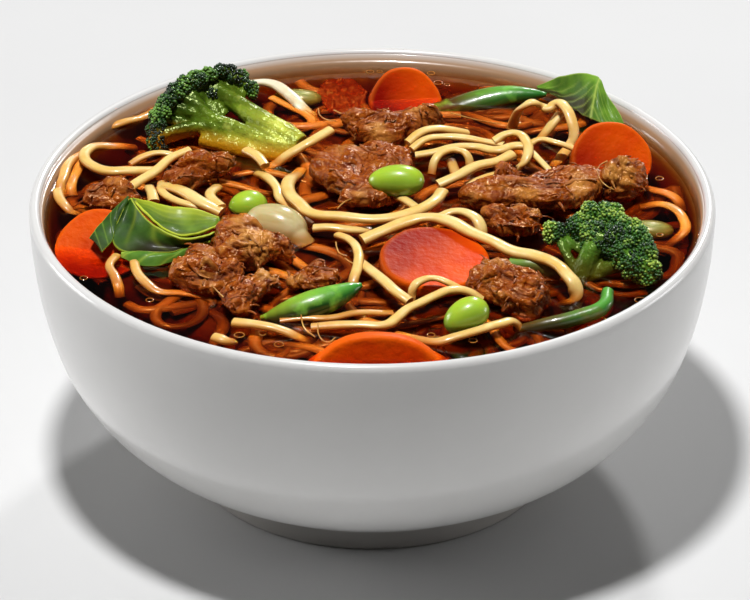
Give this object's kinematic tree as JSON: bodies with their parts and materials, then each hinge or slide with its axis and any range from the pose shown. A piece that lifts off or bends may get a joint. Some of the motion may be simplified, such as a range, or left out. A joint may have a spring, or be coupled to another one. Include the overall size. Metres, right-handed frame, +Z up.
{
  "type": "bowl of beef noodle soup",
  "caption": "White round bowl on a foot ring, filled with brown broth and curly noodles under beef, broccoli, carrot slices, soybeans, pods and leaves.",
  "frame": {"origin": "centre of the foot ring's underside, on the surface the bowl stands on", "axes": "+Z up along the bowl axis; -Y towards the front of the picture; +X to its right"},
  "size_m": [0.1706, 0.1706, 0.0866],
  "materials": {
    "bowl": "smooth white glaze",
    "broth": "clear amber-brown liquid",
    "noodles": "moist cooked noodle",
    "beef": "glossy braised meat",
    "carrot": "moist cut vegetable",
    "broccoli": "matt buds on smooth pale stems",
    "soybean": "smooth wet skin",
    "pod": "smooth wet skin",
    "stalk": "smooth wet skin",
    "leaf": "veined leaf",
    "bulb": "translucent layered skin",
    "sprout": "translucent"
  },
  "bodies": {
    "root": {"bowl": "bowl", "broth": "broth", "noodles": "noodles", "carrot_centre": "carrot", "carrot_left": "carrot", "carrot_right": "carrot", "carrot_back": "carrot", "carrot_front": "carrot", "broccoli_left": "broccoli", "broccoli_right": "broccoli", "beef_back": "beef", "beef_middle": "beef", "beef_right": "beef", "beef_right_curl": "beef", "beef_fold": "beef", "beef_knob": "beef", "beef_left_curl": "beef", "beef_left": "beef", "beef_front_ridge": "beef", "beef_front": "beef", "beef_shred": "beef", "beef_bit": "beef", "beef_corner": "beef", "bulb": "bulb", "pod_back": "pod", "pod_front": "pod", "stalk_corner": "stalk", "stalk_end": "stalk", "sprout": "sprout", "leaf_behind": "leaf", "leaf_folded": "leaf", "leaf_light": "leaf", "leaf_low": "leaf", "leaf_right": "leaf", "soybean_centre": "soybean", "soybean_front": "soybean", "soybean_left": "soybean"}
  },
  "joints": []
}
